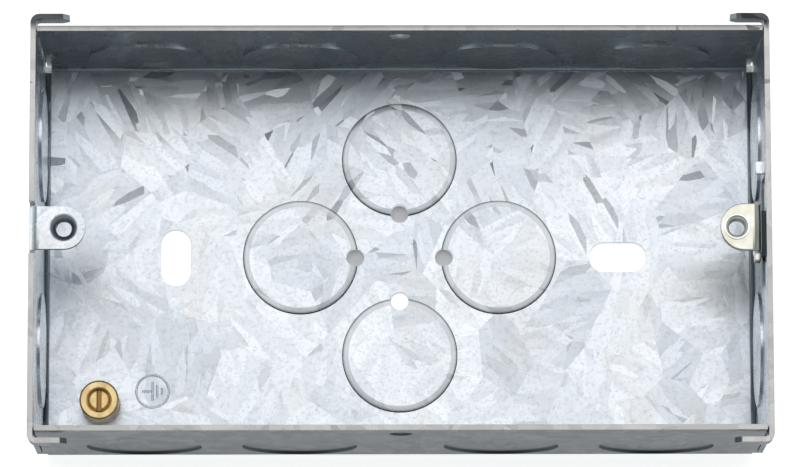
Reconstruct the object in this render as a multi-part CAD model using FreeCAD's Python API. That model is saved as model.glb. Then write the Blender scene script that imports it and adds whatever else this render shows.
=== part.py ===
"""Two-gang flush back box: a folded sheet-steel box with knockouts, lugs and an earth terminal.

The box lies on its back with its mouth up. The origin is the centre of the back's outer
face, +X runs along the length, +Y across the width and +Z out of the mouth.
"""
import FreeCAD
import Part
import cmath
import math
import os

from FreeCAD import Vector

# Box body, outside sizes in millimetres
BOX_LENGTH = 133.0
BOX_WIDTH = 73.5
BOX_DEPTH = 35.0
SHEET = 1.0
BEND_RADIUS = 0.8
CORNER_SEAM = 0.22
CORNER_RELIEF = 0.1
CORNER_RELIEF_HEIGHT = 3.0

# Tabs of the end walls, wrapped round the long walls at the rim
TAB_LENGTH = 7.0
TAB_DEPTH = 4.0
TAB_GAP = 1.2
TAB_BEND_RADIUS = 0.6
TAB_TIP_CLIP = 1.2

# Knockouts: discs half-sheared inwards, still held by the sheet
KNOCKOUT_RADIUS = 10.45
KNOCKOUT_STEP = 0.5
KNOCKOUT_EDGE_WIDTH = 1.0
BASE_KNOCKOUT_PITCH = 18.3
WALL_KNOCKOUT_HEIGHT = 12.6
LONG_WALL_INNER_KNOCKOUT = 18.3
LONG_WALL_OUTER_KNOCKOUT = 46.5
END_WALL_KNOCKOUT = 19.0
PRY_HOLE_RADIUS = 1.65
PRY_HOLE_INSET = 0.35

# Holes in the base and the long walls
UPRIGHT_SLOT_X = 41.3
LEVEL_SLOT_X = 40.3
FIXING_SLOT_WIDTH = 5.5
FIXING_SLOT_LENGTH = 10.5
RIM_HOLE_RADIUS = 2.1
RIM_HOLE_SETBACK = 5.5

# Lugs for the accessory's two screws, which stand 120.6 apart on this length of box
LUG_INSET = 6.2
LUG_SETBACK = 0.8
LUG_THREAD_RADIUS = 1.5
LUG_COLLAR_WALL = 0.8
LUG_COLLAR_DEPTH = 2.0
FIXED_LUG_WIDTH = 7.8
FIXED_LUG_ENTRY_RADIUS = 2.5
FIXED_LUG_NOTCH = 0.8

# Adjustable lug: a folded strip that slides in a window below the rim
SLIDER_SHEET = 1.2
SLIDER_WIDTH = 8.5
SLIDER_TIP_REACH = 3.0
SLIDER_ENTRY_RADIUS = 1.9
SLIDER_BEND_RADIUS = 0.5
SLIDER_WALL_GAP = 0.75
SLIDER_CLEARANCE = 0.06
SLIDER_FOOT_DROP = 7.5
SLIDER_FOOT_SHEET = 0.5
SLIDER_FOOT_LAP = 2.5
SLIDER_EAR_LENGTH = 1.6
SLIDER_EAR_DROP = 2.0
SLIDER_EAR_HEIGHT = 3.0
WINDOW_WIDTH = 20.0
WINDOW_HEIGHT = 9.0
WINDOW_DROP = 1.94
WINDOW_STOP_REACH = 1.6
WINDOW_STOP_LENGTH = 2.2

# Earth terminal: a brass pillar riveted through the base, with a slotted screw
TERMINAL_FROM_END = 11.5
TERMINAL_FROM_SIDE = 9.25
PILLAR_RADIUS = 3.6
PILLAR_HEIGHT = 7.5
PILLAR_EDGE = 0.3
RIVET_RADIUS = 2.2
RIVET_CLEARANCE = 0.04
WIRE_HOLE_RADIUS = 1.4
WIRE_HOLE_HEIGHT = 2.0
SCREW_RADIUS = 2.0
SCREW_CLEARANCE = 0.05
SCREW_THREAD_LENGTH = 1.95
SCREW_DOG_RADIUS = 1.2
SCREW_DOG_LENGTH = 1.75
SCREW_EDGE = 0.35
SCREW_BELOW_TOP = 0.25
SCREW_SLOT_WIDTH = 0.8
SCREW_SLOT_DEPTH = 1.1
SCREW_TRAVEL = 1.65

# Places worked out from the sizes above
HALF_LENGTH = BOX_LENGTH / 2
HALF_WIDTH = BOX_WIDTH / 2
BEND_REACH = SHEET + BEND_RADIUS
LUG_X = HALF_LENGTH - LUG_INSET
LUG_TOP = BOX_DEPTH - LUG_SETBACK
COLLAR_RADIUS = LUG_THREAD_RADIUS + LUG_COLLAR_WALL
WINDOW_TOP = LUG_TOP - WINDOW_DROP
WINDOW_BOTTOM = WINDOW_TOP - WINDOW_HEIGHT
TERMINAL = Vector(TERMINAL_FROM_END - HALF_LENGTH, TERMINAL_FROM_SIDE - HALF_WIDTH, 0)
PILLAR_TOP = SHEET + PILLAR_HEIGHT
SCREW_TOP = PILLAR_TOP - SCREW_BELOW_TOP
SCREW_SHOULDER = SCREW_TOP - SCREW_THREAD_LENGTH
SCREW_LOWERED = SCREW_TRAVEL + SCREW_CLEARANCE

X_AXIS = Vector(1, 0, 0)
Y_AXIS = Vector(0, 1, 0)
Z_AXIS = Vector(0, 0, 1)
PLAN = FreeCAD.Rotation()
SIDE_ON = FreeCAD.Rotation(X_AXIS, 90)
END_ON = FreeCAD.Rotation(Vector(1, 1, 1), 120)


def line(a, b):
    """Straight edge between two section points, given as complex numbers."""
    return Part.makeLine(Vector(a.real, a.imag, 0), Vector(b.real, b.imag, 0))


def arc(a, middle, b):
    """Arc through three section points, given as complex numbers."""
    points = [Vector(p.real, p.imag, 0) for p in (a, middle, b)]
    return Part.Arc(*points).toShape()


def folded_section(corners, thickness, bend_radius):
    """Section of a folded sheet: the corners give one face, the metal lies to its left."""
    path = [complex(*corner) for corner in corners]
    headings = [(b - a) / abs(b - a) for a, b in zip(path, path[1:])]
    face_end = face_start = path[0]
    back_end = back_start = path[0] + headings[0] * 1j * thickness
    edges = []
    for corner, before, after in zip(path[1:-1], headings, headings[1:]):
        turn = cmath.phase(after / before)
        side = 1 if turn > 0 else -1
        radius = bend_radius + thickness if turn > 0 else bend_radius
        back_radius = 2 * bend_radius + thickness - radius
        setback = radius * math.tan(abs(turn) / 2)
        first = corner - before * setback
        last = corner + after * setback
        centre = first + before * 1j * side * radius
        outwards = (corner - centre) / abs(corner - centre)
        back_first = first + before * 1j * thickness
        back_last = last + after * 1j * thickness
        edges += [line(face_end, first), arc(first, centre + radius * outwards, last)]
        edges += [line(back_end, back_first), arc(back_first, centre + back_radius * outwards, back_last)]
        face_end = last
        back_end = back_last
    tip = path[-1]
    back_tip = tip + headings[-1] * 1j * thickness
    edges += [line(face_end, tip), line(tip, back_tip)]
    edges += [line(back_end, back_tip), line(face_start, back_start)]
    return Part.Face(Part.Wire(Part.__sortEdges__(edges)))


def extrude(section, low, high, turn):
    """Solid from a flat section, swept from low to high along its normal and then turned."""
    section.translate(Z_AXIS * low)
    solid = section.extrude(Z_AXIS * (high - low))
    solid.Placement = FreeCAD.Placement(Vector(), turn)
    return solid


def block(low, high):
    """Box between two corners."""
    size = high - low
    return Part.makeBox(size.x, size.y, size.z, low)


def slot_cutter(centre, width, length, along, low, high):
    """Round-ended slot through the heights from low to high."""
    reach = along * ((length - width) / 2)
    ends = [Part.makeCylinder(width / 2, high - low, centre + reach * s + Z_AXIS * low) for s in (-1, 1)]
    side = Z_AXIS.cross(along) * (width / 2)
    corners = [centre - reach - side, centre + reach - side, centre + reach + side, centre - reach + side]
    middle = Part.Face(Part.makePolygon(corners + corners[:1]))
    middle.translate(Z_AXIS * low)
    return middle.extrude(Z_AXIS * (high - low)).fuse(ends)


def at_corners(solid):
    """A solid at the corner of +X and +Y, and its three mirror images."""
    pair = [solid, solid.mirror(Vector(), X_AXIS)]
    return pair + [half.mirror(Vector(), Y_AXIS) for half in pair]


def folded_box():
    """The base with its four walls, slit at the corners, and the tabs round the rim."""
    long_reach = HALF_LENGTH - SHEET - CORNER_SEAM
    long_path = [(-HALF_WIDTH, BOX_DEPTH), (-HALF_WIDTH, 0), (HALF_WIDTH, 0), (HALF_WIDTH, BOX_DEPTH)]
    end_path = [(-HALF_LENGTH, BOX_DEPTH), (-HALF_LENGTH, 0), (HALF_LENGTH, 0), (HALF_LENGTH, BOX_DEPTH)]
    long_walls = extrude(folded_section(long_path, SHEET, BEND_RADIUS), -long_reach, long_reach, END_ON)
    end_walls = extrude(folded_section(end_path, SHEET, BEND_RADIUS), -HALF_WIDTH, HALF_WIDTH, SIDE_ON)

    inner_corner = Vector(HALF_LENGTH - BEND_REACH, HALF_WIDTH - BEND_REACH, 0)
    seam_side = block(
        Vector(-HALF_LENGTH, inner_corner.y, 0),
        Vector(HALF_LENGTH, HALF_WIDTH, CORNER_RELIEF_HEIGHT),
    )
    inside = block(
        Vector(SHEET - HALF_LENGTH, inner_corner.y, 0),
        Vector(HALF_LENGTH - SHEET, HALF_WIDTH, BOX_DEPTH),
    )
    end_walls = end_walls.cut([seam_side, seam_side.mirror(Vector(), Y_AXIS)])
    end_walls = end_walls.cut([inside, inside.mirror(Vector(), Y_AXIS)])
    relief = block(
        inner_corner - Vector(CORNER_RELIEF, CORNER_RELIEF, 0),
        Vector(HALF_LENGTH, HALF_WIDTH, CORNER_RELIEF_HEIGHT),
    )
    return long_walls.fuse(end_walls).cut(at_corners(relief)).fuse(at_corners(corner_tab()))


def corner_tab():
    """Tab that runs round the corner of the rim and along the long wall's outside."""
    outside = HALF_WIDTH + TAB_GAP + SHEET
    tip = HALF_LENGTH - TAB_LENGTH
    root = HALF_WIDTH - TAB_DEPTH
    path = [(HALF_LENGTH, root), (HALF_LENGTH, outside), (tip, outside)]
    tab = extrude(folded_section(path, SHEET, TAB_BEND_RADIUS), BOX_DEPTH - TAB_DEPTH, BOX_DEPTH, PLAN)
    tip_edges = [e for e in tab.Edges if is_straight_edge(e, Y_AXIS) and abs(e.CenterOfMass.x - tip) < 0.01]
    return tab.makeChamfer(TAB_TIP_CLIP, tip_edges)


def is_straight_edge(edge, direction):
    """True for a straight edge that runs along a direction."""
    if not isinstance(edge.Curve, Part.Line):
        return False
    return abs(abs(edge.Curve.Direction.dot(direction)) - 1) < 1e-6


def base_knockouts():
    """Centre on the back and the side of the pry hole of each disc in the base."""
    for towards in (X_AXIS, -X_AXIS, Y_AXIS, -Y_AXIS):
        yield towards * BASE_KNOCKOUT_PITCH, -towards


def long_wall_knockouts():
    """Centre on the outer face and inward direction of each disc in the long walls."""
    for side in (-1, 1):
        for x in (LONG_WALL_INNER_KNOCKOUT, LONG_WALL_OUTER_KNOCKOUT):
            for end in (-1, 1):
                yield Vector(end * x, side * HALF_WIDTH, WALL_KNOCKOUT_HEIGHT), Y_AXIS * -side


def end_wall_knockouts():
    """Centre on the outer face and inward direction of each disc in the end walls."""
    for side in (-1, 1):
        for y in (-END_WALL_KNOCKOUT, END_WALL_KNOCKOUT):
            yield Vector(side * HALF_LENGTH, y, WALL_KNOCKOUT_HEIGHT), X_AXIS * -side


def base_pad(centre):
    """The part of a base disc that stands proud inside, with its drawn-in edge as a bevel."""
    top_radius = KNOCKOUT_RADIUS - KNOCKOUT_EDGE_WIDTH
    return Part.makeCone(KNOCKOUT_RADIUS, top_radius, KNOCKOUT_STEP, centre + Z_AXIS * SHEET)


def pry_hole(centre, side):
    """Hole through the edge of a base disc, for the screwdriver that pries it out."""
    place = centre + side * (KNOCKOUT_RADIUS - PRY_HOLE_INSET)
    return Part.makeCylinder(PRY_HOLE_RADIUS, SHEET + KNOCKOUT_STEP, place)


def wall_pad(centre, inward):
    """The part of a wall disc that stands proud inside."""
    return Part.makeCylinder(KNOCKOUT_RADIUS, KNOCKOUT_STEP, centre + inward * SHEET, inward)


def wall_hollow(centre, inward):
    """The hollow that a half-sheared disc leaves behind it."""
    return Part.makeCylinder(KNOCKOUT_RADIUS, KNOCKOUT_STEP, centre, inward)


def base_and_wall_holes():
    """Fixing slots, rim holes, terminal hole and the adjustable lug's window."""
    sizes = (FIXING_SLOT_WIDTH, FIXING_SLOT_LENGTH)
    upright_slot = slot_cutter(Vector(-UPRIGHT_SLOT_X, 0, 0), *sizes, Y_AXIS, 0, SHEET)
    level_slot = slot_cutter(Vector(LEVEL_SLOT_X, 0, 0), *sizes, X_AXIS, 0, SHEET)
    rim_hole_start = Vector(0, -HALF_WIDTH, BOX_DEPTH - RIM_HOLE_SETBACK)
    rim_holes = Part.makeCylinder(RIM_HOLE_RADIUS, BOX_WIDTH, rim_hole_start, Y_AXIS)
    window = block(
        Vector(HALF_LENGTH - SHEET, -WINDOW_WIDTH / 2, WINDOW_BOTTOM),
        Vector(HALF_LENGTH, WINDOW_WIDTH / 2, WINDOW_TOP),
    )
    return [upright_slot, level_slot, rim_holes, window, rivet(RIVET_CLEARANCE)]


def lug_outline(width, tip_reach, root_x):
    """Flat outline of a lug on the +X side: straight sides and a round tip."""
    half = width / 2
    round_x = LUG_X - tip_reach + half
    edges = [
        line(complex(root_x, -half), complex(root_x, half)),
        line(complex(root_x, half), complex(round_x, half)),
        arc(complex(round_x, half), complex(round_x - half, 0), complex(round_x, -half)),
        line(complex(round_x, -half), complex(root_x, -half)),
    ]
    return Part.Face(Part.Wire(edges))


def lug_thread(lug, thickness, entry_radius):
    """A lug with a collar drawn down below it and a hole for the screw's thread."""
    top = Vector(LUG_X, 0, LUG_TOP)
    length = thickness + LUG_COLLAR_DEPTH
    collar = Part.makeCylinder(COLLAR_RADIUS, length - thickness / 2, top - Z_AXIS * (thickness / 2), -Z_AXIS)
    hole = Part.makeCylinder(LUG_THREAD_RADIUS, length, top, -Z_AXIS)
    entry_depth = entry_radius - LUG_THREAD_RADIUS
    entry = Part.makeCone(entry_radius, LUG_THREAD_RADIUS, entry_depth, top, -Z_AXIS)
    return lug.fuse(collar).cut([hole, entry])


def fixed_lug_root():
    """Height at which the fixed lug's strip leaves the end wall."""
    return LUG_TOP - BEND_REACH - FIXED_LUG_NOTCH


def fixed_lug():
    """Lug folded inwards from the top of an end wall, drawn on the +X side."""
    tip = LUG_X - FIXED_LUG_WIDTH / 2
    path = [(HALF_LENGTH, fixed_lug_root()), (HALF_LENGTH, LUG_TOP), (tip, LUG_TOP)]
    strip = extrude(
        folded_section(path, SHEET, BEND_RADIUS),
        -FIXED_LUG_WIDTH / 2,
        FIXED_LUG_WIDTH / 2,
        SIDE_ON,
    )
    outline = lug_outline(FIXED_LUG_WIDTH, FIXED_LUG_WIDTH / 2, HALF_LENGTH)
    strip = strip.common(extrude(outline, fixed_lug_root(), LUG_TOP, PLAN))
    return lug_thread(strip, SHEET, FIXED_LUG_ENTRY_RADIUS)


def fixed_lug_gap():
    """Cut in the rim that frees the fixed lug's strip, drawn on the +X side."""
    half = FIXED_LUG_WIDTH / 2 + FIXED_LUG_NOTCH
    return block(
        Vector(HALF_LENGTH - SHEET, -half, fixed_lug_root()),
        Vector(HALF_LENGTH, half, BOX_DEPTH),
    )


def box_shell():
    """The whole folded sheet: walls, tabs, fixed lug, holes and half-sheared discs."""
    shell = folded_box().cut(fixed_lug_gap().mirror(Vector(), X_AXIS))
    shell = shell.fuse(fixed_lug().mirror(Vector(), X_AXIS))
    pads = [window_stop()]
    cutters = base_and_wall_holes()
    for centre, pry_side in base_knockouts():
        pads.append(base_pad(centre))
        cutters.append(pry_hole(centre, pry_side))
    for centre, inward in long_wall_knockouts():
        pads.append(wall_pad(centre, inward))
        cutters.append(wall_hollow(centre, inward))
    pads += [wall_pad(centre, inward) for centre, inward in end_wall_knockouts()]
    return shell.fuse(pads).cut(cutters).removeSplitter()


def window_stop():
    """Lip lanced inwards from the wall, which ends the adjustable lug's travel."""
    inner_face = HALF_LENGTH - SHEET
    return block(
        Vector(inner_face - WINDOW_STOP_REACH, WINDOW_WIDTH / 2, WINDOW_TOP - SHEET),
        Vector(inner_face, WINDOW_WIDTH / 2 + WINDOW_STOP_LENGTH, WINDOW_TOP),
    )


def adjustable_lug():
    """Folded strip: tab, leg inside the wall, web through the window and a foot that laps its outside."""
    leg_face = HALF_LENGTH - SHEET - SLIDER_WALL_GAP - SLIDER_SHEET
    foot_face = HALF_LENGTH + SLIDER_CLEARANCE
    foot_back = foot_face + SLIDER_FOOT_SHEET
    foot_top = LUG_TOP - SLIDER_FOOT_DROP
    foot_bottom = WINDOW_BOTTOM - SLIDER_FOOT_LAP
    tab_under = LUG_TOP - SLIDER_SHEET
    web_under = foot_top - SLIDER_SHEET
    tip = LUG_X - SLIDER_TIP_REACH
    path = [(tip, tab_under), (leg_face, tab_under), (leg_face, web_under), (foot_back, web_under)]
    half = SLIDER_WIDTH / 2
    strip = extrude(folded_section(path, SLIDER_SHEET, SLIDER_BEND_RADIUS), -half, half, SIDE_ON)
    outline = lug_outline(SLIDER_WIDTH, SLIDER_TIP_REACH, foot_back)
    strip = strip.common(extrude(outline, foot_bottom, LUG_TOP, PLAN))

    foot = block(Vector(foot_face, -half, foot_bottom), Vector(foot_back, half, foot_top))
    ear_top = LUG_TOP - SLIDER_EAR_DROP
    ear = block(
        Vector(leg_face, -half - SLIDER_EAR_LENGTH, ear_top - SLIDER_EAR_HEIGHT),
        Vector(leg_face + SLIDER_SHEET, -half, ear_top),
    )
    return lug_thread(strip.fuse([foot, ear]), SLIDER_SHEET, SLIDER_ENTRY_RADIUS).removeSplitter()


def rivet(clearance):
    """Spigot through the base, flush with the back of the box."""
    return Part.makeCylinder(RIVET_RADIUS + clearance, SHEET, TERMINAL)


def chamfered_top(solid, size, height):
    """A turned piece with all edges of its top face chamfered."""
    return solid.makeChamfer(size, [e for e in solid.Edges if abs(e.BoundBox.ZMin - height) < 0.01])


def earth_terminal_pillar():
    """Brass pillar with a threaded hole from the top and a wire hole across it."""
    foot = TERMINAL + Z_AXIS * SHEET
    body = Part.makeCylinder(PILLAR_RADIUS, PILLAR_HEIGHT, foot)
    thread_bottom = SCREW_SHOULDER - SCREW_LOWERED
    thread_start = TERMINAL + Z_AXIS * thread_bottom
    thread = Part.makeCylinder(SCREW_RADIUS + SCREW_CLEARANCE, PILLAR_TOP - thread_bottom, thread_start)
    wire_start = foot + Z_AXIS * WIRE_HOLE_HEIGHT - X_AXIS * PILLAR_RADIUS
    wire_hole = Part.makeCylinder(WIRE_HOLE_RADIUS, 2 * PILLAR_RADIUS, wire_start, X_AXIS)
    dog_way = Part.makeCylinder(
        SCREW_DOG_RADIUS + SCREW_CLEARANCE,
        thread_bottom - SHEET - WIRE_HOLE_HEIGHT,
        foot + Z_AXIS * WIRE_HOLE_HEIGHT,
    )
    body = chamfered_top(body.cut(thread), PILLAR_EDGE, PILLAR_TOP)
    return body.cut([wire_hole, dog_way]).fuse(rivet(0)).removeSplitter()


def earth_terminal_screw():
    """Slotted screw with a plain dog point, backed out clear of the wire hole."""
    shoulder = TERMINAL + Z_AXIS * SCREW_SHOULDER
    thread = Part.makeCylinder(SCREW_RADIUS, SCREW_THREAD_LENGTH, shoulder)
    thread = chamfered_top(thread, SCREW_EDGE, SCREW_TOP)
    screw = thread.fuse(Part.makeCylinder(SCREW_DOG_RADIUS, SCREW_DOG_LENGTH, shoulder, -Z_AXIS))
    half_slot = Vector(SCREW_SLOT_WIDTH / 2, SCREW_RADIUS, 0)
    slot_floor = TERMINAL + Z_AXIS * (SCREW_TOP - SCREW_SLOT_DEPTH)
    slot = block(slot_floor - half_slot, slot_floor + half_slot + Z_AXIS * SCREW_SLOT_DEPTH)
    return screw.cut(slot)


PIECES = {
    "box_shell": box_shell,
    "adjustable_lug": adjustable_lug,
    "earth_terminal_pillar": earth_terminal_pillar,
    "earth_terminal_screw": earth_terminal_screw,
}

os.makedirs("parts", exist_ok=True)
for name, make in PIECES.items():
    piece = make()
    print(f"{name}: {len(piece.Solids)} solid, valid {piece.isValid()}, {piece.Volume:.1f} cubic mm")
    piece.exportStep(f"parts/{name}.step")
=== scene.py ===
# %% [markdown]
# # A flush back box of galvanised steel
#
# The box is folded from one zinc-coated sheet. It lies on its back with its mouth up, and we look
# down into it. Its solids come ready from the CAD model, so this lesson is about the last tenth of
# a millimetre: broken edges, sheared discs, threads, a stamped sign, and above all the metal.
#
# Blender works in metres, and sizes are written in millimetres as on a drawing, so MM turns one
# into the other. The frame is that of the CAD model: +X along the box, +Y across it, +Z out of its
# mouth, and the origin in the middle of the back.

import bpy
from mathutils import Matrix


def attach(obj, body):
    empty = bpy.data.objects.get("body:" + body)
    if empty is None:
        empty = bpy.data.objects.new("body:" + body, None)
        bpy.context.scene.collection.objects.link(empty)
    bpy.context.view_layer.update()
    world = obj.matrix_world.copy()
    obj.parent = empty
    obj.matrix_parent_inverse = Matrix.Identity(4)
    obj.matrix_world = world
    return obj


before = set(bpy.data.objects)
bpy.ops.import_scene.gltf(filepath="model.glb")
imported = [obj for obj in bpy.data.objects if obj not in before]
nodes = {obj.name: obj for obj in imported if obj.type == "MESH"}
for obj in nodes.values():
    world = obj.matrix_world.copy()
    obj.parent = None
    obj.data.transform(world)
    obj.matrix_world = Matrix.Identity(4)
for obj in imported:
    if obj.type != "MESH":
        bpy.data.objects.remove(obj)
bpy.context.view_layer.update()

import bpy
import numpy as np
from mathutils import Matrix, Vector

MM = 0.001
print("CAD nodes:", ", ".join(sorted(nodes)))


# %% [markdown]
# ## The camera
#
# The photographer stood far away with a long lens, almost straight above the box and a little
# towards its near long wall, so the inside of the far wall and the outside of the near one both
# show as narrow bands. A camera could be placed by eye. Here its place and turn were solved from
# the corners of the rim and the base, so we write them down as numbers and need no lens shift.

# %% Camera
CAMERA_PLACE_MM = (-5.25, -170.05, 1021.57)
CAMERA_PITCH_YAW_ROLL = np.radians((-9.706, 0.3, 0.133))
SENSOR_WIDTH_MM = 36.0
LENS_MM = 251.89

pitch, yaw, roll = CAMERA_PITCH_YAW_ROLL
world_to_camera = (
    Matrix.Rotation(roll, 4, "Z") @ Matrix.Rotation(pitch, 4, "X") @ Matrix.Rotation(yaw, 4, "Y"))
camera = bpy.data.objects.new("camera", bpy.data.cameras.new("camera"))
camera.data.sensor_width = SENSOR_WIDTH_MM
camera.data.lens = LENS_MM
camera.matrix_world = Matrix.Translation(Vector(CAMERA_PLACE_MM) * MM) @ world_to_camera.inverted()
bpy.context.collection.objects.link(camera)
bpy.context.scene.camera = camera
bpy.context.scene.view_settings.view_transform = "Standard"
print("camera", LENS_MM, "mm lens at", CAMERA_PLACE_MM, "mm")


# %% [markdown]
# ## Helpers for materials
#
# A colour is written the way a paint chart gives it, as an sRGB hex value, and Blender calculates
# in linear light, so one function turns the first into the second. A second function adds a node,
# sets its properties and fills its sockets, from a value or from another node, so that a material
# reads as a short list. A third one starts a material, and a fourth marks a rectangle on the box or
# the floor.

# %% Colour and node helpers
def linear(hex_colour):
    """sRGB hex value to linear RGBA: below 0.04045 divide by 12.92, above it use the 2.4 power curve."""
    s = np.array([int(hex_colour[i:i + 2], 16) for i in (1, 3, 5)]) / 255
    rgb = np.where(s <= 0.04045, s / 12.92, ((s + 0.055) / 1.055) ** 2.4)
    return (*rgb.tolist(), 1.0)


def add(tree, kind, inputs=(), **settings):
    """Add a node with its settings; inputs pairs a socket with a value, an output or a node's first one."""
    node = tree.nodes.new(kind)
    for name, value in settings.items():
        setattr(node, name, value)
    for socket, value in dict(inputs).items():
        if isinstance(value, bpy.types.Node):
            value = value.outputs[0]
        if isinstance(value, bpy.types.NodeSocket):
            tree.links.new(value, node.inputs[socket])
        else:
            node.inputs[socket].default_value = value
    return node


def new_material(name):
    """An empty node material and its tree."""
    material = bpy.data.materials.new(name)
    material.use_nodes = True
    material.node_tree.nodes.clear()
    return material, material.node_tree


def patch(tree, x, y, centre_mm, half_mm):
    """1 where x and y both lie within half a width of a centre, else 0."""
    near_x, near_y = (
        add(tree, "ShaderNodeMath", {0: value, 1: centre * MM, 2: half * MM}, operation="COMPARE")
        for value, centre, half in zip((x, y), centre_mm, half_mm))
    return add(tree, "ShaderNodeMath", {0: near_x, 1: near_y}, operation="MULTIPLY")


# %% [markdown]
# ## Floor and light
#
# The box lies on white paper under one broad softbox, which hangs over the far long wall and stops
# above the middle of the box. That alone gives the picture its tones. The base mirrors the softbox,
# the inside of the far wall shows the base from a side on which nothing shines, and the base
# darkens beside the far wall because it mirrors that wall.
#
# More light would whiten the paper, but it would bleach the zinc too. So the paper glows a little
# for the camera and in the first reflections, and it still takes the shadow. In the corner slits
# and the upper pry holes the box itself shades the paper, so it glows less there. It lies a hair
# under the box, because two faces in one plane would flicker, and it is clear from below, so that
# the back of the box can be looked at too.

# %% Floor
FLOOR_HALF_M, FLOOR_DROP_MM = 2.0, 0.1

floor_mesh = bpy.data.meshes.new("floor")
floor_corners = np.array([(-1, -1, 0), (1, -1, 0), (1, 1, 0), (-1, 1, 0)]) * FLOOR_HALF_M
floor_corners -= (0, 0, FLOOR_DROP_MM * MM)
floor_mesh.from_pydata(floor_corners.tolist(), [], [(0, 1, 2, 3)])
floor = bpy.data.objects.new("floor", floor_mesh)
bpy.context.collection.objects.link(floor)
print("floor", 2 * FLOOR_HALF_M, "m wide and", FLOOR_DROP_MM, "mm under the box")

# %% Glow of the paper
FLOOR_GLOW, GLOW_BOUNCES = 0.76, 2
SLIT_GLOW_LOSS, SLIT_MM, SLIT_HALF_MM = 0.76, (64.8, 35.05), (1.3, 1.3)
PRY_GLOW_LOSS, PRY_MM, PRY_HALF_MM = 0.7, (0, 5), (12.5, 7)

# Uncoated paper has no gloss, so it gives the eye an even white and a soft shadow.
paper, paper_tree = new_material("matt white paper")
rays = add(paper_tree, "ShaderNodeLightPath")
seen = add(paper_tree, "ShaderNodeMath", {
    0: rays.outputs["Is Camera Ray"], 1: rays.outputs["Is Glossy Ray"],
}, operation="ADD")
seen = add(paper_tree, "ShaderNodeMath", {
    0: seen, 1: rays.outputs["Is Transmission Ray"],
}, operation="ADD")
early = add(paper_tree, "ShaderNodeMath", {
    0: rays.outputs["Ray Depth"], 1: GLOW_BOUNCES + 0.5,
}, operation="LESS_THAN")
glow = add(paper_tree, "ShaderNodeMath", {0: seen, 1: early}, operation="MULTIPLY")
glow = add(paper_tree, "ShaderNodeMath", {0: glow, 1: FLOOR_GLOW}, operation="MULTIPLY")
floor_place = add(paper_tree, "ShaderNodeTexCoord")
spot = add(paper_tree, "ShaderNodeSeparateXYZ", {0: floor_place.outputs["Object"]})
far_x, far_y = (
    add(paper_tree, "ShaderNodeMath", {0: spot.outputs[axis]}, operation="ABSOLUTE") for axis in "XY")
slits = patch(paper_tree, far_x, far_y, SLIT_MM, SLIT_HALF_MM)
pry_holes = patch(paper_tree, spot.outputs["X"], spot.outputs["Y"], PRY_MM, PRY_HALF_MM)
shaded = add(paper_tree, "ShaderNodeMath", {0: pry_holes, 1: PRY_GLOW_LOSS}, operation="MULTIPLY")
shaded = add(paper_tree, "ShaderNodeMath", {
    0: slits, 1: SLIT_GLOW_LOSS, 2: shaded,
}, operation="MULTIPLY_ADD")
shaded = add(paper_tree, "ShaderNodeMath", {
    0: shaded, 1: rays.outputs["Is Camera Ray"],
}, operation="MULTIPLY")
glow = add(paper_tree, "ShaderNodeMath", {0: glow, 1: shaded}, operation="SUBTRACT")
print(paper.name, "glows by", FLOOR_GLOW)

# %% Paper seen from above and from below
emission = add(paper_tree, "ShaderNodeEmission", {"Color": linear("#FFFFFF"), "Strength": glow})
diffuse = add(paper_tree, "ShaderNodeBsdfDiffuse", {"Color": linear("#F7F7F7"), "Roughness": 0.0})
lit = add(paper_tree, "ShaderNodeAddShader", {0: diffuse, 1: emission})
paper_side = add(paper_tree, "ShaderNodeNewGeometry")
clear = add(paper_tree, "ShaderNodeBsdfTransparent")
one_way = add(paper_tree, "ShaderNodeMixShader", {
    0: paper_side.outputs["Backfacing"], 1: lit, 2: clear,
})
add(paper_tree, "ShaderNodeOutputMaterial", {"Surface": one_way})
floor_mesh.materials.append(paper)
print(len(paper_tree.nodes), "nodes in", paper.name)

# %% Softbox
SOFTBOX_DISTANCE_M = 1.5
SOFTBOX_FROM_TO = np.radians((0.0, 40.0))
SOFTBOX_HALF_ANGLE_X = np.radians(32)
SOFTBOX_RADIANCE = 1.3

softbox_lean, softbox_half_angle = SOFTBOX_FROM_TO.mean(), np.ptp(SOFTBOX_FROM_TO) / 2
softbox = bpy.data.objects.new("softbox", bpy.data.lights.new("softbox", "AREA"))
softbox.data.shape = "RECTANGLE"
softbox.data.size = 2 * SOFTBOX_DISTANCE_M * np.tan(SOFTBOX_HALF_ANGLE_X)
softbox.data.size_y = 2 * SOFTBOX_DISTANCE_M * np.tan(softbox_half_angle)
softbox.data.energy = SOFTBOX_RADIANCE * np.pi * softbox.data.size * softbox.data.size_y
softbox.matrix_world = (
    Matrix.Rotation(-softbox_lean, 4, "X") @ Matrix.Translation((0, 0, SOFTBOX_DISTANCE_M)))
bpy.context.collection.objects.link(softbox)
print("softbox", round(softbox.data.size, 2), "by", round(softbox.data.size_y, 2), "m")

# %% Room round the box
ROOM_HORIZON, ROOM_DIM = 0.8, 0.09
ROOM_FADE_FROM, ROOM_FADE_TO = 0.1, 0.9

room = bpy.data.worlds.new("studio")
bpy.context.scene.world = room
room.use_nodes = True
room.node_tree.nodes.clear()
where = add(room.node_tree, "ShaderNodeTexCoord")
upward = add(room.node_tree, "ShaderNodeSeparateXYZ", {0: where.outputs["Generated"]})
room_level = add(room.node_tree, "ShaderNodeMapRange", {
    "Value": upward.outputs["Z"], "From Min": ROOM_FADE_FROM, "From Max": ROOM_FADE_TO,
    "To Min": ROOM_HORIZON, "To Max": ROOM_DIM,
}, interpolation_type="SMOOTHSTEP")
room_light = add(room.node_tree, "ShaderNodeBackground", {
    "Color": linear("#EAF4F5"), "Strength": room_level,
})
add(room.node_tree, "ShaderNodeOutputWorld", {"Surface": room_light})
print("room from", ROOM_HORIZON, "at the horizon to", ROOM_DIM, "overhead")


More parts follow.
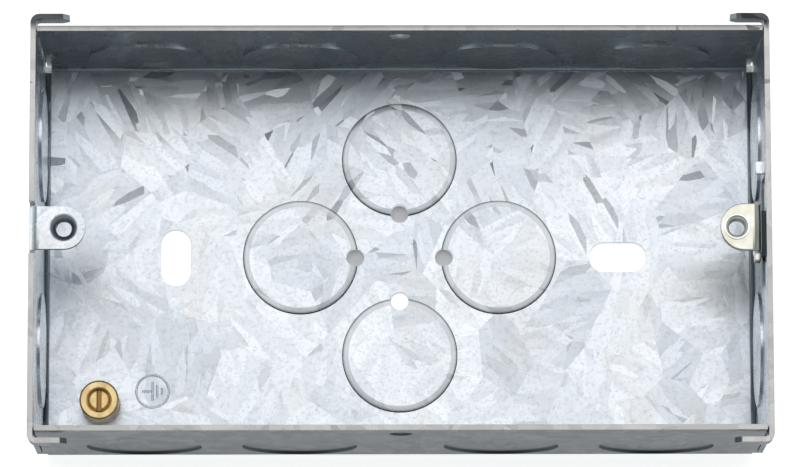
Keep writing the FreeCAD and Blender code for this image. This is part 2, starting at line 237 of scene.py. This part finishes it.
# %% [markdown]
# ## Galvanised sheet
#
# Hot-dip zinc freezes on the steel in large flat crystals, the spangle. Each crystal grew in its own
# direction and carries long flat shards, which lie a few degrees off the sheet and send the light
# elsewhere: that gives angular slivers with crisp borders, strongest where bright and dark
# reflections meet. A picture of spangle could be laid on the sheet, but it would stay the same when
# the light moves. So one Voronoi texture gives the crystals. Its random colour turns the coordinates
# of a second, stretched one, the shards, and both tilt the normal and vary roughness and tone. The
# zinc ran off towards one long edge, so the shards there are steeper, and towards the far wall the
# sheet is painted darker as shade.

# %% Crystals and shards
CRYSTAL_MM = 10.0
SHARD_MM = (1.45, 6.0, 4.0)
STRONG_FROM, WEAK_TILT = 0.62, 0.07

# Zinc frozen on steel gives the eye pale bluish flakes, each of one tone, that flash as the box turns.
zinc, sheet = new_material("hot-dip galvanised steel, spangled")
place = add(sheet, "ShaderNodeTexCoord")
crystal = add(sheet, "ShaderNodeTexVoronoi", {
    "Vector": place.outputs["Object"], "Scale": 1 / (CRYSTAL_MM * MM), "Randomness": 1.0,
})
growth = add(sheet, "ShaderNodeSeparateColor", {"Color": crystal.outputs["Color"]})
direction = add(sheet, "ShaderNodeMath", {0: growth.outputs[0], 1: 2 * np.pi}, operation="MULTIPLY")
turned = add(sheet, "ShaderNodeVectorRotate", {
    "Vector": place.outputs["Object"], "Angle": direction,
}, rotation_type="Z_AXIS")
stretched = add(sheet, "ShaderNodeVectorMath", {
    0: turned, 1: [1 / (size * MM) for size in SHARD_MM],
}, operation="MULTIPLY")
shard = add(sheet, "ShaderNodeTexVoronoi", {"Vector": stretched, "Scale": 1.0, "Randomness": 1.0})
split = add(sheet, "ShaderNodeSeparateColor", {"Color": shard.outputs["Color"]})
strong = add(sheet, "ShaderNodeMapRange", {
    "Value": split.outputs[2], "From Min": STRONG_FROM, "From Max": 1.0, "To Min": WEAK_TILT, "To Max": 1.0,
})
print("crystals of about", CRYSTAL_MM, "mm with shards of", SHARD_MM, "mm")

# %% Tilt of crystals and shards
CRYSTAL_TILT, CRYSTAL_MEAN = 0.05, (0.5, 0.5, 0.5)
SHARD_TILT, SHARD_MEAN = 0.15, (0.5, 0.62, 0.5)
RELIEF_FROM_MM, RELIEF_TO_MM = -10.0, 26.0
RELIEF_NEAR, RELIEF_FAR = 0.6, 2.0

tilts = []
for cells, size, mean in ((crystal, CRYSTAL_TILT, CRYSTAL_MEAN), (shard, SHARD_TILT, SHARD_MEAN)):
    centred = add(sheet, "ShaderNodeVectorMath", {0: cells.outputs["Color"], 1: mean}, operation="SUBTRACT")
    tilts.append(add(sheet, "ShaderNodeVectorMath", {0: centred, "Scale": size}, operation="SCALE"))
crystal_tilt, shard_tilt = tilts
local = add(sheet, "ShaderNodeSeparateXYZ", {0: place.outputs["Object"]})
relief = add(sheet, "ShaderNodeMapRange", {
    "Value": local.outputs["Y"], "From Min": RELIEF_FROM_MM * MM, "From Max": RELIEF_TO_MM * MM,
    "To Min": RELIEF_NEAR, "To Max": RELIEF_FAR,
})
strength = add(sheet, "ShaderNodeMath", {0: strong, 1: relief}, operation="MULTIPLY")
sparse = add(sheet, "ShaderNodeVectorMath", {0: shard_tilt, "Scale": strength}, operation="SCALE")
tilt = add(sheet, "ShaderNodeVectorMath", {0: crystal_tilt, 1: sparse}, operation="ADD")
surface = add(sheet, "ShaderNodeNewGeometry")
tilted = add(sheet, "ShaderNodeVectorMath", {0: surface.outputs["Normal"], 1: tilt}, operation="ADD")
facing = add(sheet, "ShaderNodeVectorMath", {0: tilted}, operation="NORMALIZE")
print("crystals tilt by", CRYSTAL_TILT, "and shards by", SHARD_TILT, "times their random colour")


# %% [markdown]
# ## Marks on the sheet
#
# The sheet doesn't look the same everywhere. A dark line round each disc paints the shade in the shear
# gap, and the disc's rolled edge is dull and ends in the grey line of the die. The cut rim shows bare
# steel, and on the far tabs it is painted dark as shade. The outside, above all the near wall, and the
# tight folds at the end walls are painted darker as shade, the cut sides of the fixed lug are grey,
# and the wall where the other lug slides is painted dark as shade.
#
# Such marks could be painted by hand on an unfolded map of the sheet. But all of them follow from
# where a point lies on the box, so we measure in its own coordinates and turn them into masks.

# %% Mask helpers
folded = add(sheet, "ShaderNodeVectorMath", {0: place.outputs["Object"]}, operation="ABSOLUTE")
reach = add(sheet, "ShaderNodeSeparateXYZ", {0: folded})


def ring_mask(disc, ring_mm, depth, limit_mm, kept_side):
    """1 within half a width of a circle about a disc's centre, on one side of a limit, else 0."""
    plane, centre_mm = disc
    radius_mm, half_mm = ring_mm
    flat = add(sheet, "ShaderNodeVectorMath", {0: folded, 1: plane}, operation="MULTIPLY")
    away = add(sheet, "ShaderNodeVectorMath", {
        0: flat, 1: [value * MM for value in centre_mm],
    }, operation="DISTANCE")
    on_ring = add(sheet, "ShaderNodeMath", {
        0: away.outputs["Value"], 1: radius_mm * MM, 2: half_mm * MM,
    }, operation="COMPARE")
    kept = add(sheet, "ShaderNodeMath", {0: depth, 1: limit_mm * MM}, operation=kept_side)
    return add(sheet, "ShaderNodeMath", {0: on_ring, 1: kept}, operation="MULTIPLY")


def largest(first, *others):
    """The largest of several masks."""
    for mask in others:
        first = add(sheet, "ShaderNodeMath", {0: first, 1: mask}, operation="MAXIMUM")
    return first


def beyond(coordinate, limit_mm, soft_mm):
    """0 below a limit, 1 above it, with a soft step between."""
    return add(sheet, "ShaderNodeMapRange", {
        "Value": coordinate, "From Min": limit_mm * MM, "From Max": (limit_mm + soft_mm) * MM,
    }, interpolation_type="SMOOTHSTEP")


def band(coordinate, start_mm, end_mm):
    """1 between two limits, each with its soft step, else 0: beyond the start less beyond the end."""
    return add(sheet, "ShaderNodeMath", {
        0: beyond(coordinate, *start_mm), 1: beyond(coordinate, *end_mm),
    }, operation="SUBTRACT", use_clamp=True)


# %% Rings of the discs
# A disc is given by the axes of its plane and by its centre, and a ring by its radius and half width.
# Lengths without a sign make one disc stand for its mirror images too.
DISC_PITCH_MM = 18.3
BASE_DISCS = (((1, 1, 0), (DISC_PITCH_MM, 0, 0)), ((1, 1, 0), (0, DISC_PITCH_MM, 0)))
END_DISCS = ((0, 1, 1), (0, 19.0, 12.6))
SHEAR_MM, ROLLED_MM, DIE_LINE_MM = (10.54, 0.1), (9.95, 0.5), (10.38, 0.16)
BASE_INSIDE_MM, END_FACE_MM = 1.02, 66.4

# The shear line is a dark ring that paints the shade in the shear gap round each disc.
shear = largest(
    ring_mask(END_DISCS, SHEAR_MM, reach.outputs["X"], END_FACE_MM, "GREATER_THAN"),
    *(ring_mask(disc, SHEAR_MM, local.outputs["Z"], BASE_INSIDE_MM, "LESS_THAN") for disc in BASE_DISCS))
rolled, die_line = (
    largest(*(
        ring_mask(disc, ring_mm, local.outputs["Z"], BASE_INSIDE_MM, "GREATER_THAN") for disc in BASE_DISCS))
    for ring_mm in (ROLLED_MM, DIE_LINE_MM))
print("shear line at", SHEAR_MM[0], "mm, die line at", DIE_LINE_MM[0], "mm")

# %% Rim, far tabs and outside
# Each pair is where a mask starts and how softly it rises.
RIM_MM, FAR_TABS_MM = (34.86, 0.08), (35.5, 2.0)
LONG_OUTSIDE_MM, END_OUTSIDE_MM, NEAR_OUTSIDE_MM = (36.0, 0.1), (66.35, 0.1), (-36.0, -0.1)

rim = beyond(local.outputs["Z"], *RIM_MM)
# On the far tabs the rim is painted dark as shade.
far_tab_shade = add(sheet, "ShaderNodeMath", {
    0: rim, 1: beyond(local.outputs["Y"], *FAR_TABS_MM),
}, operation="MULTIPLY")
# The outside is painted darker as shade, and further down it is also made rougher.
outside = largest(
    beyond(reach.outputs["Y"], *LONG_OUTSIDE_MM), beyond(reach.outputs["X"], *END_OUTSIDE_MM))
outside = add(sheet, "ShaderNodeMath", {0: outside, 1: rim}, operation="SUBTRACT", use_clamp=True)
# The near wall's outside is painted darker still, as shade.
near_wall_shade = add(sheet, "ShaderNodeMath", {
    0: beyond(local.outputs["Y"], *NEAR_OUTSIDE_MM), 1: rim,
}, operation="SUBTRACT", use_clamp=True)
print("rim from", RIM_MM[0], "mm up")

# %% Fixed lug, and painted shade beside the sliding lug and in the folds
LUG_ZONE_MM, LUG_ZONE_HALF_MM = (59.3, 0), (4.2, 5.0)
LUG_SIDE_FROM_MM, LUG_SIDE_TO_MM = (30.0, 0.2), (34.0, 0.1)
LUG_SHADE_WALL_FROM_MM, LUG_SHADE_WALL_TO_MM = (64.85, 0.2), (66.0, 0.1)
LUG_SHADE_REACH_MM = (8.0, 4.0)
LUG_SHADE_LOW_MM, LUG_SHADE_HIGH_MM = (2.0, 14.0), (32.5, 0.5)
END_FOLD_MM, FOLD_TOP_MM = (64.45, 0.25), (1.7, 0.5)

lug_zone = patch(sheet, reach.outputs["X"], reach.outputs["Y"], LUG_ZONE_MM, LUG_ZONE_HALF_MM)
lug_side = add(sheet, "ShaderNodeMath", {
    0: lug_zone, 1: band(local.outputs["Z"], LUG_SIDE_FROM_MM, LUG_SIDE_TO_MM),
}, operation="MULTIPLY")
beside_lug = add(sheet, "ShaderNodeMath", {
    0: band(local.outputs["X"], LUG_SHADE_WALL_FROM_MM, LUG_SHADE_WALL_TO_MM),
    1: beyond(reach.outputs["Y"], *LUG_SHADE_REACH_MM),
}, operation="SUBTRACT", use_clamp=True)
# The end wall beside the sliding lug is painted dark there as shade.
lug_window_shade = add(sheet, "ShaderNodeMath", {
    0: beside_lug, 1: band(local.outputs["Z"], LUG_SHADE_LOW_MM, LUG_SHADE_HIGH_MM),
}, operation="MULTIPLY")
# The crease where the end walls meet the base is painted dark as shade.
end_fold_shade = add(sheet, "ShaderNodeMath", {
    0: beyond(reach.outputs["X"], *END_FOLD_MM), 1: beyond(local.outputs["Z"], *FOLD_TOP_MM),
}, operation="SUBTRACT", use_clamp=True)
# The reach printed here is that of the shade painted beside the sliding lug.
print("grease up to", sum(LUG_SHADE_REACH_MM), "mm beside the sliding lug")


# %% [markdown]
# ## Tone of the sheet
#
# Clean zinc is nearly even, with a step of tone from crystal to crystal, soft warm clouds where it
# has aged and fine grey specks. Each of these could be a material of its own on its own faces, but
# they fade into each other. So one colour starts from the crystals, and each mask in turn pulls it
# towards its own tone.

# %% Clouds, specks and painted shade on the far side
CLOUD_MM, SPECK_MM = 16.0, 0.7
# Where a tone starts, where it is full, and how much of it shows then.
WARM_CLOUDS, GREY_SPECKS = (0.5, 0.75, 0.6), (0.48, 0.75, 0.8)
# Towards the far wall the sheet is painted darker, as the shade beside that wall.
FAR_SIDE_SHADE = (20 * MM, 34 * MM, 0.65)

cloud = add(sheet, "ShaderNodeTexNoise", {
    "Vector": place.outputs["Object"], "Scale": 1 / (CLOUD_MM * MM), "Detail": 3.0, "Roughness": 0.6,
})
speck = add(sheet, "ShaderNodeTexNoise", {
    "Vector": place.outputs["Object"], "Scale": 1 / (SPECK_MM * MM), "Detail": 2.0, "Roughness": 0.7,
})
fades = []
for value, (start, full, most) in (
    (cloud.outputs["Fac"], WARM_CLOUDS),
    (speck.outputs["Fac"], GREY_SPECKS),
    (local.outputs["Y"], FAR_SIDE_SHADE),
):
    fades.append(add(sheet, "ShaderNodeMapRange", {
        "Value": value, "From Min": start, "From Max": full, "To Max": most,
    }))
warm, grey, far_side_shade = fades
print("clouds of", CLOUD_MM, "mm and specks of", SPECK_MM, "mm")

# %% Colour and roughness
# Of these, the tones for the far side, the end folds, the outside, the near wall, the wall beside the
# sliding lug, the far tabs and the shear line paint shade; the rest are the sheet's own colours.
TONES = (
    (warm, "#DEDCD8"),
    (grey, "#C3CAD2"),
    (far_side_shade, "#98A1A9"),
    (end_fold_shade, "#727B81"),
    (outside, "#A4A9AE"),
    (near_wall_shade, "#646A6E"),
    (lug_window_shade, "#656E72"),
    (lug_side, "#8A9197"),
    (rim, "#BFBEBC"),
    (far_tab_shade, "#505355"),
    (rolled, "#C6CACF"),
    (die_line, "#A8ADB2"),
    (shear, "#4A5054"),
)
SMOOTHEST, ROUGHEST, ROUGHER_OUTSIDE = 0.24, 0.33, 0.2

# Sockets 6 and 7 of a Mix node take its two colours, and its output 2 gives the mixed one.
tone = add(sheet, "ShaderNodeMix", {
    0: growth.outputs[1], 6: linear("#DCE2EA"), 7: linear("#E9EDF3"),
}, data_type="RGBA")
for mask, hex_colour in TONES:
    tone = add(sheet, "ShaderNodeMix", {
        0: mask, 6: tone.outputs[2], 7: linear(hex_colour),
    }, data_type="RGBA")
fine = add(sheet, "ShaderNodeMapRange", {
    "Value": split.outputs[0], "To Min": SMOOTHEST, "To Max": ROUGHEST,
})
rough = add(sheet, "ShaderNodeMath", {0: outside, 1: ROUGHER_OUTSIDE, 2: fine}, operation="MULTIPLY_ADD")
zinc_shader = add(sheet, "ShaderNodeBsdfPrincipled", {
    "Base Color": tone.outputs[2], "Metallic": 0.9, "Roughness": rough, "Normal": facing,
})
add(sheet, "ShaderNodeOutputMaterial", {"Surface": zinc_shader})
print(len(TONES), "tones on", zinc.name)


# %% [markdown]
# ## Plated lug and turned brass
#
# The sliding lug is plated apart from the box, and its passivation leaves faint yellow clouds on a
# whitish zinc; the part of it at the wall is painted dark as shade. The terminal is turned from brass,
# tan where air has dulled it, and painted brown as shade down its side and in the slot. These could
# be separate node trees, but all are a clouded metal with shade painted along one axis, so one
# function makes them.

# %% Clouded metal
CLOUD_FROM, CLOUD_FULL = 0.35, 0.7


def clouded_metal(name, light_hex, dull_hex, cloud_mm, roughness, shade_hex, shade_axis, shade_from_to_mm):
    """A metal that drifts between two tones in soft clouds and is painted darker along an axis, as shade."""
    material, tree = new_material(name)
    place = add(tree, "ShaderNodeTexCoord")
    cloud = add(tree, "ShaderNodeTexNoise", {
        "Vector": place.outputs["Object"], "Scale": 1 / (cloud_mm * MM), "Detail": 3.0, "Roughness": 0.6,
    })
    dull = add(tree, "ShaderNodeMapRange", {
        "Value": cloud.outputs["Fac"], "From Min": CLOUD_FROM, "From Max": CLOUD_FULL,
    })
    tone = add(tree, "ShaderNodeMix", {
        0: dull, 6: linear(light_hex), 7: linear(dull_hex),
    }, data_type="RGBA")
    along = add(tree, "ShaderNodeSeparateXYZ", {0: place.outputs["Object"]})
    start, end = shade_from_to_mm
    painted_shade = add(tree, "ShaderNodeMapRange", {
        "Value": along.outputs[shade_axis], "From Min": start * MM, "From Max": end * MM,
    })
    tone = add(tree, "ShaderNodeMix", {
        0: painted_shade, 6: tone.outputs[2], 7: linear(shade_hex),
    }, data_type="RGBA")
    shader = add(tree, "ShaderNodeBsdfPrincipled", {
        "Base Color": tone.outputs[2], "Metallic": 1.0, "Roughness": roughness,
    })
    add(tree, "ShaderNodeOutputMaterial", {"Surface": shader})
    return material


# %% Plated and brass materials
SLIDING_LUG_SHADE_FROM_TO_MM = (64.0, 64.6)
BRASS_SHADE_FROM_TO_MM = (8.0, 7.3)

# Passivated zinc plating gives the eye a satin white with a breath of yellow; where the lug meets the wall
# it is painted dark as shade.
plated = clouded_metal(
    "zinc-plated steel, yellow passivated", "#EEEDE7", "#D8D5BC", 3.0, 0.28,
    "#434B50", "X", SLIDING_LUG_SHADE_FROM_TO_MM)
# Where a punch has rubbed it, the plating gives a brighter and sharper shine.
burnished = clouded_metal(
    "zinc plating burnished by the drawing punch", "#F4F4F2", "#E6E6E0", 3.0, 0.2,
    "#434B50", "X", SLIDING_LUG_SHADE_FROM_TO_MM)
# Turned brass gives a warm tan shine, and its side and slot are painted brown as shade.
brass = clouded_metal(
    "turned brass", "#F0D8A2", "#D0B078", 1.6, 0.3,
    "#947545", "Z", BRASS_SHADE_FROM_TO_MM)
for material in (plated, burnished, brass):
    print(material.name)

# %% Give the nodes their materials
FINISHES = {
    "box_shell": zinc,
    "adjustable_lug": plated,
    "earth_terminal_pillar": brass,
    "earth_terminal_screw": brass,
}
for name, material in FINISHES.items():
    nodes[name].data.materials.clear()
    nodes[name].data.materials.append(material)
    print(name, "is", material.name)


# %% [markdown]
# ## One function for all small pieces
#
# Every small form on this box is a section carried along a path: round a disc, round a hole, along
# a bar or up a helix. Curves with a bevel object could do that, but they give no say over each
# section. So one function takes the sections as an array and skins them. A path that ends is closed
# by its first and last section, so no piece is left open.

# %% Skin over sections
CREASE_ANGLE = np.radians(50)


def skin(name, sections, ring, material, body):
    """n sections of k points: each quad joins points j and j+1 of a section to those of the next one."""
    n, k = sections.shape[:2]
    i, j = np.meshgrid(np.arange(n if ring else n - 1), np.arange(k), indexing="ij")
    ahead, beside = (i + 1) % n, (j + 1) % k
    quads = np.stack([i * k + j, i * k + beside, ahead * k + beside, ahead * k + j], axis=-1).reshape(-1, 4)
    points = sections.reshape(-1, 3) * MM
    a, b, c, d = points[quads].transpose(1, 0, 2)
    if np.sum(np.cross(c - a, d - b) * (a - points.mean(axis=0))) < 0:
        quads = quads[:, ::-1]
        ends = [list(range(k)), list(range(n * k - 1, n * k - k - 1, -1))]
    else:
        ends = [list(range(k - 1, -1, -1)), list(range(n * k - k, n * k))]
    mesh = bpy.data.meshes.new(name)
    mesh.from_pydata(points.tolist(), [], quads.tolist() + ([] if ring else ends))
    mesh.polygons.foreach_set("use_smooth", np.ones(len(mesh.polygons), dtype=bool))
    mesh.set_sharp_from_angle(angle=CREASE_ANGLE)
    mesh.materials.append(material)
    piece = bpy.data.objects.new(name, mesh)
    bpy.context.collection.objects.link(piece)
    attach(piece, body)
    print(name, len(quads), "quads")


def round_axis(section, centre, angles):
    """Sections of (radius, height) points turned about an upright axis: x = r cos a, y = r sin a."""
    radius, height = section[None, :, 0], section[None, :, 1]
    x = centre[0] + radius * np.cos(angles)[:, None]
    y = centre[1] + radius * np.sin(angles)[:, None]
    return np.stack([x, y, np.broadcast_to(height, x.shape)], axis=-1)


# %% [markdown]
# ## Rolled edges of the knockouts
#
# The press pushes each disc half through the sheet. The die rolls its edge over, so the edge is a
# flat arc that leaves the disc almost level and ends a little steeper at the shear. Its slope decides
# what it mirrors: on the near side the edge of the softbox, where it darkens, and at the top of the
# uppermost disc the dark far wall. A bevel could round the edge, but not with a slope that we choose,
# so the arc is worked out here. Each edge stops at the round pry hole.

# %% Rolled edges
DISC_EDGE_MM, DISC_TOP_MM = 10.45, 1.503
ROLL_MM, ROLL_SLOPES = 1.04, np.radians((2.2, 5.2))
SHEET_TOP_MM, SUNK_MM = 1.0, 0.1
PRY_HALF_ANGLE = np.radians(9.3)
ARC_POINTS, EDGE_STEPS = 16, 180


def rolled_edge(width, slopes, edge, top, foot):
    """An arc of (radius, z) points from a steep slope at the edge to a flat one further in: for a slope a
    and the arc's own radius R = width / (sin steep - sin flat), the radius is edge - R (sin steep - sin a)
    and z is top - R (cos flat - cos a). Two points on the foot close the section."""
    flat, steep = slopes
    slope = np.linspace(steep, flat, ARC_POINTS)
    arc_radius = width / np.ptp(np.sin(slopes))
    arc = np.stack([
        edge - arc_radius * (np.sin(steep) - np.sin(slope)),
        top - arc_radius * (np.cos(flat) - np.cos(slope)),
    ], axis=-1)
    return np.vstack([[(edge, foot)], arc, [(edge - width, foot)]])


edge_section = rolled_edge(ROLL_MM, ROLL_SLOPES, DISC_EDGE_MM, DISC_TOP_MM, SHEET_TOP_MM - SUNK_MM)
for number, bearing in enumerate(np.arange(4) * np.pi / 2):
    centre = DISC_PITCH_MM * np.array([np.cos(bearing), np.sin(bearing)])
    angles = bearing + np.pi + np.linspace(PRY_HALF_ANGLE, 2 * np.pi - PRY_HALF_ANGLE, EDGE_STEPS)
    edge_sections = round_axis(edge_section, centre, angles)
    skin(f"disc_edge_{number + 1}", edge_sections, False, zinc, "box")


# %% [markdown]
# ## Earth sign
#
# A punch has raised the sign for earth beside the terminal: a ring with a stem and three bars that
# get shorter. The lines are low beads. Only their flanks catch another part of the light, so they
# read as thin grey lines on the bright sheet. Bump in the material could draw them, but a bead is a
# real form, and it stays when the model is exported.

# %% Earth sign
SIGN_MM, SIGN_RING_MM = np.array([-45.5, -24.9]), 3.0
BEAD_HALF_WIDTH_MM, BEAD_HEIGHT_MM = 0.2, 0.17
BEAD_POINTS, STROKE_STEPS, CIRCLE_STEPS = 11, 9, 120
STROKES = {
    "stem": ((-2.0, 0), (-0.2, 0)),
    "long_bar": ((0, -1.75), (0, 1.75)),
    "middle_bar": ((0.85, -1.2), (0.85, 1.2)),
    "short_bar": ((1.7, -0.6), (1.7, 0.6)),
}


def bead(half_width, height, foot):
    """Half an ellipse over a sunk foot: across = half width times cos a, z = foot + height times sin a."""
    bow = np.linspace(0, np.pi, BEAD_POINTS)
    arch = np.stack([half_width * np.cos(bow), foot + height * np.sin(bow)], axis=-1)
    return np.vstack([[(half_width, foot - SUNK_MM)], arch, [(-half_width, foot - SUNK_MM)]])


def along_line(section, start, end):
    """Sections of (across, z) points at even steps t from 0 to 1: start + t (end - start) + across."""
    along = (end - start) / np.linalg.norm(end - start)
    across = np.array([-along[1], along[0]])
    path = start + np.linspace(0, 1, STROKE_STEPS)[:, None] * (end - start)
    plan = path[:, None, :] + section[None, :, :1] * across
    height = np.broadcast_to(section[None, :, 1:], (*plan.shape[:2], 1))
    return np.concatenate([plan, height], axis=-1)


sign_line = bead(BEAD_HALF_WIDTH_MM, BEAD_HEIGHT_MM, SHEET_TOP_MM)
full_circle = np.linspace(0, 2 * np.pi, CIRCLE_STEPS, endpoint=False)
sign_ring = round_axis(sign_line + (SIGN_RING_MM, 0), SIGN_MM, full_circle)
skin("earth_sign_ring", sign_ring, True, zinc, "box")
for name, ends in STROKES.items():
    stroke = along_line(sign_line, *(SIGN_MM + np.array(ends)))
    skin(f"earth_sign_{name}", stroke, False, zinc, "box")


# %% [markdown]
# ## Threads and the lug's raised ring
#
# The holes of both lugs carry an M3.5 thread. The rib is a low trapezium that climbs 0.6 mm in each
# turn, and its height fades in and out over a quarter turn as a tap leaves it. A Screw modifier
# gives an even helix, but not that fade, so the rib is worked out here. Drawing the sliding lug's
# collar has also raised a bright ring round its hole, which is one more bead.

# %% Threads
LUG_X_MM, HOLE_MM = 60.3, 1.5
THREAD_PITCH_MM, RIB_MM, RIB_SUNK_MM = 0.6, 0.09, 0.03
RIB_SECTION_MM = np.array((-0.25, -0.06, 0.06, 0.25))
STEPS_IN_A_TURN, THINNEST_RIB = 48, 0.05
THREADS = {
    "fixed_lug_thread": (-LUG_X_MM, 31.5, 32.9, zinc, "box", "galvanised_sheet"),
    "sliding_lug_thread": (LUG_X_MM, 31.3, 33.5, plated, "sliding_lug", "zinc_plated_lug"),
}


def thread_rib(x, low, high):
    """A trapezium carried up a helix: after an angle a it stands at low + pitch a / (2 pi), and its crest
    reaches in from the hole's wall by the rib's height, which fades over a quarter turn at both ends."""
    turns = (high - low) / THREAD_PITCH_MM
    angle = np.linspace(0, turns * 2 * np.pi, int(turns * STEPS_IN_A_TURN))
    fade = np.clip(np.minimum(angle, angle[-1] - angle) / (np.pi / 2), THINNEST_RIB, 1)
    radius = HOLE_MM + RIB_SUNK_MM - np.outer(fade, (0, 1, 1, 0)) * (RIB_MM + RIB_SUNK_MM)
    height = low + angle[:, None] * THREAD_PITCH_MM / (2 * np.pi) + RIB_SECTION_MM
    return np.stack([x + radius * np.cos(angle)[:, None], radius * np.sin(angle)[:, None], height], axis=-1)


for name, (x, low, high, material, body, slot) in THREADS.items():
    skin(name, thread_rib(x, low, high), False, material, body)

# %% Raised ring
RAISED_RING_MM, RAISED_HALF_WIDTH_MM, RAISED_HEIGHT_MM = 2.15, 0.2, 0.035
LUG_TOP_MM = 34.2

ring_section = bead(RAISED_HALF_WIDTH_MM, RAISED_HEIGHT_MM, LUG_TOP_MM) + (RAISED_RING_MM, 0)
raised_ring = round_axis(ring_section, (LUG_X_MM, 0), full_circle)
skin("sliding_lug_ring", raised_ring, True, burnished, "sliding_lug")


# %% [markdown]
# ## Broken edges
#
# No cut or pressed edge is perfectly sharp, and the thin line of light on it is what makes metal
# look like metal. A Bevel node in the material would only bend the light there, so we round the
# mesh. The CAD meshes are loose triangles, so modifiers first weld them and dissolve the flat ones
# into whole faces, and then bevel what is left as a real edge.

# %% Edge modifiers
EDGE_MM = {
    "box_shell": 0.22,
    "adjustable_lug": 0.2,
    "earth_terminal_pillar": 0.15,
    "earth_terminal_screw": 0.15,
}
WELD_MM, EDGE_SEGMENTS = 0.001, 3
FLAT_ANGLE, EDGE_ANGLE = np.radians(0.5), np.radians(40)

for name, width in EDGE_MM.items():
    node = nodes[name]
    weld = node.modifiers.new("weld", "WELD")
    weld.merge_threshold = WELD_MM * MM
    whole = node.modifiers.new("whole faces", "DECIMATE")
    whole.decimate_type = "DISSOLVE"
    whole.angle_limit = FLAT_ANGLE
    bevel = node.modifiers.new("broken edge", "BEVEL")
    bevel.width = width * MM
    bevel.segments = EDGE_SEGMENTS
    bevel.limit_method = "ANGLE"
    bevel.angle_limit = EDGE_ANGLE
    print(name, "edges broken by", width, "mm")
